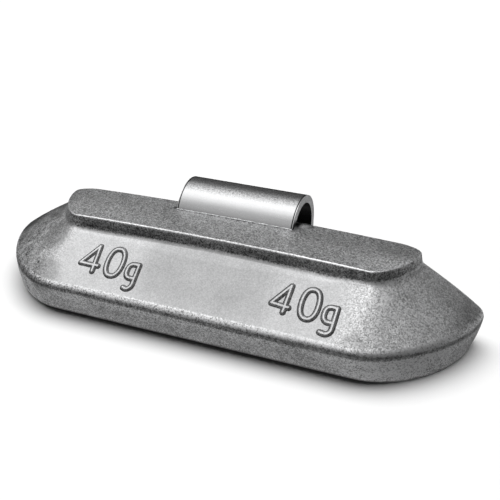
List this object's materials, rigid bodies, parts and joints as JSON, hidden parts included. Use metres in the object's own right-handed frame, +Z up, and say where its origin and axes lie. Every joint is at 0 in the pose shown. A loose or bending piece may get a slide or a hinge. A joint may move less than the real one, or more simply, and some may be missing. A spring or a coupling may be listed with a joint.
{
  "type": "wheel balance weight",
  "caption": "Clip-on wheel balance weight: a zinc casting with a sloped front, a raised ledge and a flat back, and a spring steel clip cast into it that grips the edge of a wheel rim.",
  "frame": {"origin": "centre of the flat base, at mid length and half way between the front and back edges of the base", "axes": "+X along the weight, +Y from the sloped front towards the flat back that lies against the rim, +Z up from the base towards the ledge and the arch of the clip"},
  "size_m": [0.0584, 0.0201, 0.0126],
  "materials": {
    "cast_zinc": "shot-blasted bare casting, satin",
    "spring_steel": "zinc-plated, smooth satin"
  },
  "bodies": {
    "root": {"weight_body": "cast_zinc", "spring_clip": "spring_steel"}
  },
  "joints": []
}
